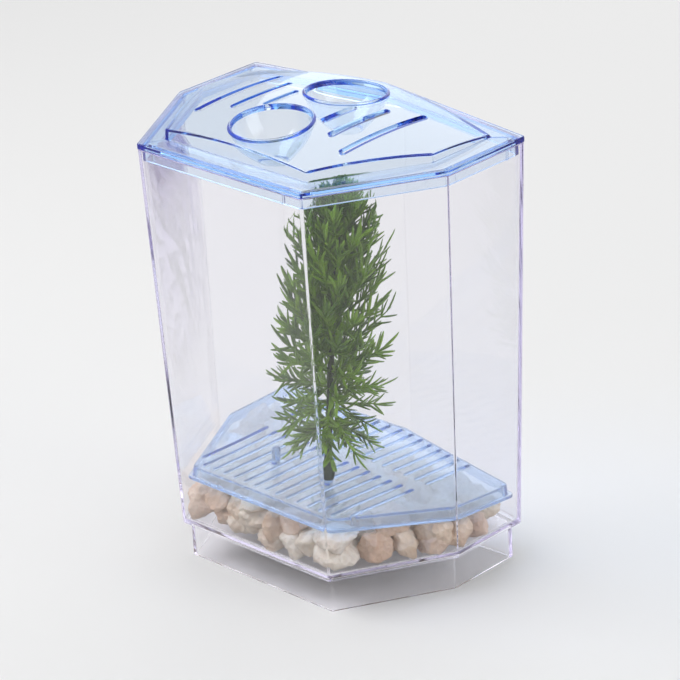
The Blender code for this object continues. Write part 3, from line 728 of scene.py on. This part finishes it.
AXIS = Vector((0.0, math.sin(TRAY_TILT), math.cos(TRAY_TILT)))
COLLAR_LIFT = 0.0024
COLLAR_HEIGHT = 0.0100
COLLAR_SIDES = 40
COLLAR_GAP = 0.0003
COLLAR_RADII = np.array([0.0022, 0.0025, 0.0027, 0.0029, 0.0029, 0.0029, 0.0029, 0.0028, 0.0027,
                         0.0025, 0.0022, 0.0020, 0.0018, 0.0017, 0.0016])
PLANT_HEIGHT = 0.1290
STEM_BEND = 0.0051
STEM_RADIUS = 0.0016
STEM_SINK = 0.0005
STEM_RINGS = 60
STEM_SIDES = 14
STEM_DARK = (0.010, 0.022, 0.006, 1.0)
STEM_LIGHT = (0.022, 0.045, 0.010, 1.0)
STEM_ROUGH = 0.42
plant_frame = tray_frame @ Matrix.Translation((PEG_PLACES[1][0], PEG_PLACES[1][1], 0.0))


def stem_curve(height):
    """The stem's axis over the plate: x and y both grow with the square of the height."""
    bend = STEM_BEND * (height / PLANT_HEIGHT) ** 2 / math.sqrt(2)
    return np.stack([bend, bend, height], axis=-1)


def leaf_material(name, dark, light, rough):
    """Moulded green plastic with a mottled tone, a soft shine and a faint grain."""
    finish, out, add, join = new_material(name)
    place = add("TexCoord")
    patches = add("TexNoise", Scale=90.0, Detail=3.0)
    ramp = add("ValToRGB")
    ramp.color_ramp.elements[0].position = 0.35
    ramp.color_ramp.elements[0].color = dark
    ramp.color_ramp.elements[1].position = 0.68
    ramp.color_ramp.elements[1].color = light
    grain = add("TexNoise", Scale=1400.0, Detail=2.0)
    bump = add("Bump", Strength=0.12, Distance=0.0003)
    shader = add("BsdfPrincipled", Roughness=rough)
    shader.inputs["Subsurface Weight"].default_value = 0.12
    shader.inputs["Subsurface Radius"].default_value = (0.0008, 0.0016, 0.0004)
    join(place.outputs["Object"], patches.inputs["Vector"])
    join(place.outputs["Object"], grain.inputs["Vector"])
    join(patches.outputs["Fac"], ramp.inputs["Fac"])
    join(ramp.outputs["Color"], shader.inputs["Base Color"])
    join(grain.outputs["Fac"], bump.inputs["Height"])
    join(bump.outputs["Normal"], shader.inputs["Normal"])
    join(shader.outputs["BSDF"], out.inputs["Surface"])
    return finish


def build_base():
    """The bulb as rings: out from its sleeve's mouth, up a rounded side and in to the stem."""
    angle = np.linspace(0, 2 * math.pi, COLLAR_SIDES, endpoint=False)
    share = np.linspace(0, 1, len(COLLAR_RADII))
    sleeve = PEG_RADIUS + COLLAR_GAP
    radii = np.concatenate([[sleeve, sleeve], COLLAR_RADII])
    heights = np.concatenate([[PEG_HEIGHT + COLLAR_GAP, COLLAR_LIFT], COLLAR_LIFT + COLLAR_HEIGHT * share])
    rings = np.stack([radii[:, None] * np.cos(angle), radii[:, None] * np.sin(angle),
                      heights[:, None] + 0 * angle], axis=2)
    points, faces = loft(rings)
    return add_piece("plant_base", placed(points, plant_frame), faces)


def build_stem():
    """A round rod carried along the stem's curve, thinning towards its tip."""
    height = np.linspace(COLLAR_LIFT + COLLAR_HEIGHT - STEM_SINK, PLANT_HEIGHT, STEM_RINGS)
    angle = np.linspace(0, 2 * math.pi, STEM_SIDES, endpoint=False)
    radius = (STEM_RADIUS * (1 - 0.5 * height / PLANT_HEIGHT))[:, None]
    circles = np.stack([radius * np.cos(angle), radius * np.sin(angle), 0 * radius * angle], axis=2)
    points, faces = loft(stem_curve(height)[:, None] + circles)
    return add_piece("plant_rod", placed(points, plant_frame), faces)


stem_plastic = leaf_material("stem_plastic", STEM_DARK, STEM_LIGHT, STEM_ROUGH)
dress(build_base(), "plant", "stem_plastic", stem_plastic, "plant_collar")
dress(build_stem(), "plant", "stem_plastic", stem_plastic, "plant_stem")

# Foliage. Fourteen moulded tiers are threaded on the stem. Each is a ring of fronds, and each
# frond is a curved rib with blunt needle-like leaflets all round it. The lowest tier droops.

TIER_COUNT = 14
TIER_FIRST = 0.0275
TIER_LAST = 0.1180
FROND_REACH = 0.0220
REACH_SHARES = (0.80, 1.05, 1.02, 0.95, 0.80, 0.55, 0.24)
FROND_RISE = math.radians(48.0)
RISE_SHARES = (-0.55, 0.15, 0.58, 0.84, 0.95, 1.02, 1.15)
FROND_CURVE = 0.0060
FRONDS = 9
RIB_WIDTH = 0.0013
LEAFLET_SHARES = np.array([0.22, 0.36, 0.50, 0.64, 0.78, 0.90, 1.00])
LEAFLET_LENGTH = 0.0088
LEAFLET_WIDTH = 0.00135
LEAFLET_SPREAD = math.radians(38.0)
LEAFLET_LIFT = 0.30
LEAFLET_RINGS = 6
LEAFLET_SIDES = 6
LEAFLET_THICKNESS = 0.60
FOLIAGE_REACH = 0.0290
FOLIAGE_TOP = 0.1300
FOLIAGE_MARGIN = 0.0080
SHOULDER_HEIGHT = 0.1000
CROWN_LEVEL = 0.1220
CROWN_REACH = 0.0125
REACH_SOFTENS = 0.85
RISE_SCATTER = 0.11
TURN_SCATTER = 0.12
ROLL_SCATTER = 0.55
SPREAD_SCATTER = 0.16
LEAFLET_CURL = 0.0010
CURL_SCATTER = 0.0006
LEAF_DARK = (0.050, 0.125, 0.003, 1.0)
LEAF_LIGHT = (0.200, 0.360, 0.010, 1.0)
LEAF_ROUGH = 0.34


def blades(start, along, across, length, width, lift):
    """Many blunt leaflets at once, as closed tubes of an oval section.

    A leaflet's middle line runs start + along * length * t + lift * t * t. Its width is
    width * (1 - t ** 8) ** 0.5 with a thinner root, so it keeps its width and ends round.
    """
    t = np.sin(np.linspace(0, math.pi / 2, LEAFLET_RINGS))
    angle = np.linspace(0, 2 * math.pi, LEAFLET_SIDES, endpoint=False)
    line = (start[:, None] + along[:, None] * (length[:, None] * t)[..., None]
            + lift[:, None] * (t ** 2)[None, :, None])
    root = 0.70 + 0.30 * np.sin(math.pi * t ** 0.8)
    half = width[:, None] / 2 * np.sqrt(1 - (0.985 * t) ** 8) * root
    normal = unit(np.cross(along, across))
    flat = across[:, None, None] * np.cos(angle)[None, None, :, None]
    thick = normal[:, None, None] * (LEAFLET_THICKNESS * np.sin(angle))[None, None, :, None]
    return line[:, :, None] + (flat + thick) * half[..., None, None]


def blade_mesh(tubes):
    """Points and faces of a stack of leaflets, each closed at both ends."""
    count, rows, around = tubes.shape[:3]
    base = np.arange(count)[:, None, None] * rows * around
    row = np.arange(rows - 1)[None, :, None] * around
    here = np.arange(around)[None, None, :]
    after = (here + 1) % around
    quads = np.stack([base + row + here, base + row + after,
                      base + row + around + after, base + row + around + here], axis=3).reshape(-1, 4)
    first = (np.arange(count)[:, None] * rows * around + np.arange(around)[::-1])
    last = (np.arange(count)[:, None] * rows * around + (rows - 1) * around + np.arange(around))
    return tubes.reshape(-1, 3), quads.tolist() + first.tolist() + last.tolist()


def kept_in(points):
    """Points drawn in softly to the foliage's greatest reach from the stem and greatest height."""
    over = np.maximum(points[..., 2] - FOLIAGE_TOP + FOLIAGE_MARGIN, 0)
    height = points[..., 2] - over + FOLIAGE_MARGIN * np.tanh(over / FOLIAGE_MARGIN)
    away = points[..., :2] - stem_curve(height)[..., :2]
    reach = np.linalg.norm(away, axis=-1, keepdims=True)
    room = np.interp(height, (SHOULDER_HEIGHT, CROWN_LEVEL), (FOLIAGE_REACH, CROWN_REACH))[..., None]
    rest = 1 - REACH_SOFTENS
    eased = room * (REACH_SOFTENS + rest * np.tanh((reach / room - REACH_SOFTENS) / rest))
    soft = np.where(reach > room * REACH_SOFTENS, eased, reach)
    flat = stem_curve(height)[..., :2] + away / np.maximum(reach, 1e-9) * soft
    return np.concatenate([flat, height[..., None]], axis=-1)


def tier(k, random):
    """One tier's fronds: curved ribs round the stem, and leaflets at shares of each rib's length."""
    share = k / (TIER_COUNT - 1)
    steps = np.linspace(0, 1, len(RISE_SHARES))
    height = TIER_FIRST + (TIER_LAST - TIER_FIRST) * share
    reach = FROND_REACH * np.interp(share, steps, REACH_SHARES)
    rise = FROND_RISE * np.interp(share, steps, RISE_SHARES) + random.normal(0, RISE_SCATTER, FRONDS)
    turn = 2 * math.pi * (np.arange(FRONDS) + 0.5 * (k % 2)) / FRONDS
    turn = turn + random.normal(0, TURN_SCATTER, FRONDS)
    length = reach / np.cos(rise) * random.uniform(0.84, 1.05, FRONDS)
    size = min(1.0, reach / FROND_REACH)
    outward = np.column_stack([np.cos(turn), np.sin(turn), 0 * turn])
    upward = np.array([0.0, 0.0, 1.0])
    along = outward * np.cos(rise)[:, None] + upward * np.sin(rise)[:, None]
    sideways = np.cross(upward, outward)
    roll = random.normal(0, ROLL_SCATTER, FRONDS)[:, None]
    across = unit(sideways * np.cos(roll) + np.cross(along, sideways) * np.sin(roll))
    start = stem_curve(np.array([height])) + outward * STEM_RADIUS * 0.5
    curve = upward * FROND_CURVE * (reach / FROND_REACH) * min(1.0, 4 * share - 0.4)
    tubes = [blades(start, along, across, length, np.full(FRONDS, RIB_WIDTH), np.tile(curve, (FRONDS, 1)))]
    for place in LEAFLET_SHARES:
        last = place == 1.0
        for side in range(1 if last else 3):
            scatter = random.normal(0, SPREAD_SCATTER, FRONDS)[:, None]
            spread = (0.2 if last else 1.0) * LEAFLET_SPREAD + scatter
            round_rib = 2 * math.pi * side / 3 + random.normal(0, 0.5, FRONDS)[:, None]
            lift = random.normal(LEAFLET_LIFT * min(1.0, 3 * share), 0.15, FRONDS)[:, None]
            tangent = unit(along * length[:, None] + 2 * curve * place)
            away = across * np.cos(round_rib) + np.cross(along, across) * np.sin(round_rib)
            heading = unit(tangent * np.cos(spread) + away * np.sin(spread) + upward * lift)
            root = place - 0.08
            at = start + along * (length * root)[:, None] + curve * root ** 2
            leaf_length = LEAFLET_LENGTH * random.uniform(0.70, 1.10, FRONDS)
            leaf_length = leaf_length * (0.45 + 0.55 * size)
            turned = unit(across - heading * (across * heading).sum(axis=1)[:, None])
            curl = upward * LEAFLET_CURL + random.normal(0, CURL_SCATTER, (FRONDS, 3))
            wide = LEAFLET_WIDTH * random.uniform(0.80, 1.10, FRONDS)
            tubes.append(blades(at, heading, turned, leaf_length, wide, curl))
    points, faces = blade_mesh(kept_in(np.concatenate(tubes)))
    return placed(points, plant_frame), faces


def build_foliage(finish):
    random = np.random.default_rng(7)
    for k in range(TIER_COUNT):
        piece = add_piece("frond_tier_%02d" % (k + 1), *tier(k, random), sharp=60.0)
        dress(piece, "plant", "leaf_plastic", finish, "leaf_whorl_%02d" % (k + 1))


leaf_plastic = leaf_material("leaf_plastic", LEAF_DARK, LEAF_LIGHT, LEAF_ROUGH)
build_foliage(leaf_plastic)

# Pebbles. Loose chipped quartz, cream, white and tan, lies on the floor under the tray. Each stone
# is lumpy, with worn edges and flat broken sides, and the outer ones rest against the walls.

STONE_SIDES = 44
STONE_RINGS = 26
STONE_FACES = 15
STONE_SOFTNESS = 60.0
STONE_SPREAD = np.array([1.26, 1.26, 1.05])
STONE_CHIPS = (0.78, 1.06)
STONE_WAVES = 12
STONE_ROUGHNESS = 0.040
STONE_GAP = 0.00015
STONE_LEAST = 0.0035
WELD = 0.000002
HOLLOW_EDGE = -0.02
STONE_STRETCH = 0.0075
PIT_DEPTH = 0.0009
GRAIN_DEPTH = 0.0004
STONE_TINTS = (
    (0.80, 0.71, 0.58), (0.85, 0.79, 0.69), (0.76, 0.61, 0.46), (0.80, 0.64, 0.52),
    (0.72, 0.65, 0.55), (0.86, 0.82, 0.75), (0.72, 0.53, 0.39), (0.82, 0.74, 0.62),
)


def stone_corners(node):
    """Splits a node into its stones, which meet only along hollow edges, as middles and corners."""
    body = bmesh.new()
    body.from_mesh(nodes[node].data)
    bmesh.ops.remove_doubles(body, verts=body.verts, dist=WELD)
    bmesh.ops.recalc_face_normals(body, faces=body.faces)
    stones = []
    seen = set()
    for face in body.faces:
        if face in seen:
            continue
        group = [face]
        seen.add(face)
        for current in group:
            for edge in current.edges:
                if len(edge.link_faces) == 2 and edge.calc_face_angle_signed(0.0) > HOLLOW_EDGE:
                    fresh = [other for other in edge.link_faces if other not in seen]
                    seen.update(fresh)
                    group.extend(fresh)
        corners = np.array([vertex.co for face in group for vertex in face.verts])
        middle = (corners.min(axis=0) + corners.max(axis=0)) / 2
        stones.append((middle, corners - middle))
    body.free()
    return stones


def bed_limits(middle, corners):
    """The faces a stone may not cross: the floor, the walls and, if it is in the pan, its sides."""
    lean = (LEDGE_INSET - TOP_INSET) / (TANK_TOP - LEDGE_Z)
    normals, points = side_planes(LEDGE_INSET + WALL, lean, LEDGE_Z)
    normals = np.vstack([normals, (0.0, 0.0, -1.0)])
    points = np.vstack([points, (0.0, 0.0, FLOOR_TOP)])
    up = np.array(AXIS)
    foot = placed([(0.0, 0.0, -TRAY_HEIGHT)], tray_frame)[0]
    under = placed([(0.0, 0.0, -TRAY_SHELL)], tray_frame)[0]
    top = ((middle + corners - foot) @ up).max()
    if top > 0:
        pan_normals, pan_points = side_planes(TRAY_INSET + TRAY_SHELL, 0.0, -TRAY_HEIGHT)
        normals = np.vstack([normals, pan_normals @ np.array(tray_frame.to_3x3()).T, up])
        points = np.vstack([points, placed(pan_points, tray_frame), under])
    else:
        normals = np.vstack([normals, up])
        points = np.vstack([points, foot])
    distances = ((points - middle) * normals).sum(axis=1) - STONE_GAP
    return normals, np.maximum(distances, STONE_LEAST)


def stone_surface(middle, corners, random):
    """A broken stone as a function of longitude and latitude.

    A few planes, each at a random share of the stone's own reach that way, and the faces that it
    may not cross bound it. Along a direction u its radius is the soft least of offset / (n . u), the
    sum of (n . u / offset) to a power, taken to minus one over it. Low waves roughen it.
    """
    walls, distances = bed_limits(middle, corners)
    grown = corners * STONE_SPREAD
    for way, distance in zip(walls[:8], distances):
        reach = (grown @ way).max()
        if 0 < distance - reach < STONE_STRETCH:
            share = np.clip(grown @ way / reach, 0, 1)[:, None]
            grown = grown + share * way * (distance - reach)
    step = np.arange(STONE_FACES) + 0.5
    level = 1 - 2 * step / STONE_FACES
    spin = step * math.pi * (3 - math.sqrt(5)) + random.uniform(0, 2 * math.pi)
    ring_radius = np.sqrt(1 - level ** 2)
    normals = np.column_stack([ring_radius * np.cos(spin), ring_radius * np.sin(spin), level])
    normals = unit(normals + random.normal(0, 0.22, normals.shape))
    offsets = (grown @ normals.T).max(axis=0) * random.uniform(*STONE_CHIPS, STONE_FACES)
    normals = np.vstack([normals, walls])
    offsets = np.concatenate([offsets, distances])
    longitude = np.linspace(0, 2 * math.pi, STONE_SIDES, endpoint=False)
    latitude = np.linspace(-math.pi / 2, math.pi / 2, STONE_RINGS + 2)[1:-1]
    flat = np.cos(latitude)[:, None]
    u = np.stack([flat * np.cos(longitude), flat * np.sin(longitude),
                  np.sin(latitude)[:, None] + 0 * longitude], axis=2)
    waves = random.normal(0, 1, (STONE_WAVES, 3)) * np.linspace(2.0, 11.0, STONE_WAVES)[:, None]
    phase = random.uniform(0, 2 * math.pi, STONE_WAVES)
    rough = (np.sin(u @ waves.T + phase) / np.linspace(1.0, 2.5, STONE_WAVES)).sum(axis=2)
    facing = np.clip(u @ normals.T, 0, None) / offsets
    facing[..., :STONE_FACES] *= (1 - STONE_ROUGHNESS * rough)[..., None]
    radius = (facing ** STONE_SOFTNESS).sum(axis=2) ** (-1 / STONE_SOFTNESS)
    return loft(middle + u * radius[..., None])


def quartz_material():
    """Broken quartz: each stone's own tint, clouded and veined, with a sugary grain."""
    finish, out, add, join = new_material("quartz")
    place = add("TexCoord")
    tint = add("Attribute", attribute_name="stone_tint")
    clouds = add("TexNoise", Scale=120.0, Detail=5.0, Roughness=0.6)
    ramp = add("ValToRGB")
    ramp.color_ramp.elements[0].position = 0.30
    ramp.color_ramp.elements[0].color = (0.64, 0.54, 0.44, 1.0)
    ramp.color_ramp.elements[1].position = 0.62
    ramp.color_ramp.elements[1].color = (1.0, 1.0, 1.0, 1.0)
    stain = add("TexNoise", Scale=55.0, Detail=4.0)
    stain_ramp = add("ValToRGB")
    stain_ramp.color_ramp.elements[0].position = 0.50
    stain_ramp.color_ramp.elements[0].color = (0.0, 0.0, 0.0, 1.0)
    stain_ramp.color_ramp.elements[1].position = 0.74
    stain_ramp.color_ramp.elements[1].color = (0.60, 0.60, 0.60, 1.0)
    shade = add("MixRGB", blend_type="MULTIPLY", Fac=0.75)
    rust = add("MixRGB", blend_type="MIX")
    rust.inputs["Color2"].default_value = (0.42, 0.20, 0.10, 1.0)
    grain = add("TexNoise", Scale=900.0, Detail=6.0, Roughness=0.7)
    pits = add("TexVoronoi", Scale=420.0)
    bump = add("Bump", Strength=0.9, Distance=PIT_DEPTH)
    fine = add("Bump", Strength=0.7, Distance=GRAIN_DEPTH)
    shader = add("BsdfPrincipled", Roughness=0.55)
    shader.inputs["Subsurface Weight"].default_value = 0.18
    shader.inputs["Subsurface Radius"].default_value = (0.0022, 0.0016, 0.0012)
    for texture in (clouds, stain, grain, pits):
        join(place.outputs["Object"], texture.inputs["Vector"])
    join(clouds.outputs["Fac"], ramp.inputs["Fac"])
    join(stain.outputs["Fac"], stain_ramp.inputs["Fac"])
    join(tint.outputs["Color"], shade.inputs["Color1"])
    join(ramp.outputs["Color"], shade.inputs["Color2"])
    join(stain_ramp.outputs["Color"], rust.inputs["Fac"])
    join(shade.outputs["Color"], rust.inputs["Color1"])
    join(rust.outputs["Color"], shader.inputs["Base Color"])
    join(pits.outputs["Distance"], bump.inputs["Height"])
    join(grain.outputs["Fac"], fine.inputs["Height"])
    join(bump.outputs["Normal"], fine.inputs["Normal"])
    join(fine.outputs["Normal"], shader.inputs["Normal"])
    join(shader.outputs["BSDF"], out.inputs["Surface"])
    return finish


def build_pebbles(finish):
    random = np.random.default_rng(3)
    for node in sorted(name for name in nodes if name.startswith("pebble")):
        stones = [stone_surface(*stone, random) for stone in stone_corners(node)]
        tints = np.array(STONE_TINTS)[random.integers(0, len(STONE_TINTS), len(stones))]
        points, faces = merged(stones)
        piece = add_piece("stones_" + node, points, faces, sharp=70.0)
        shades = np.repeat(tints, [len(stone[0]) for stone in stones], axis=0)
        layer = piece.data.color_attributes.new("stone_tint", "FLOAT_COLOR", "POINT")
        layer.data.foreach_set("color", np.column_stack([shades, np.ones(len(shades))]).ravel())
        dress(piece, "tank", "quartz", finish, node)


build_pebbles(quartz_material())
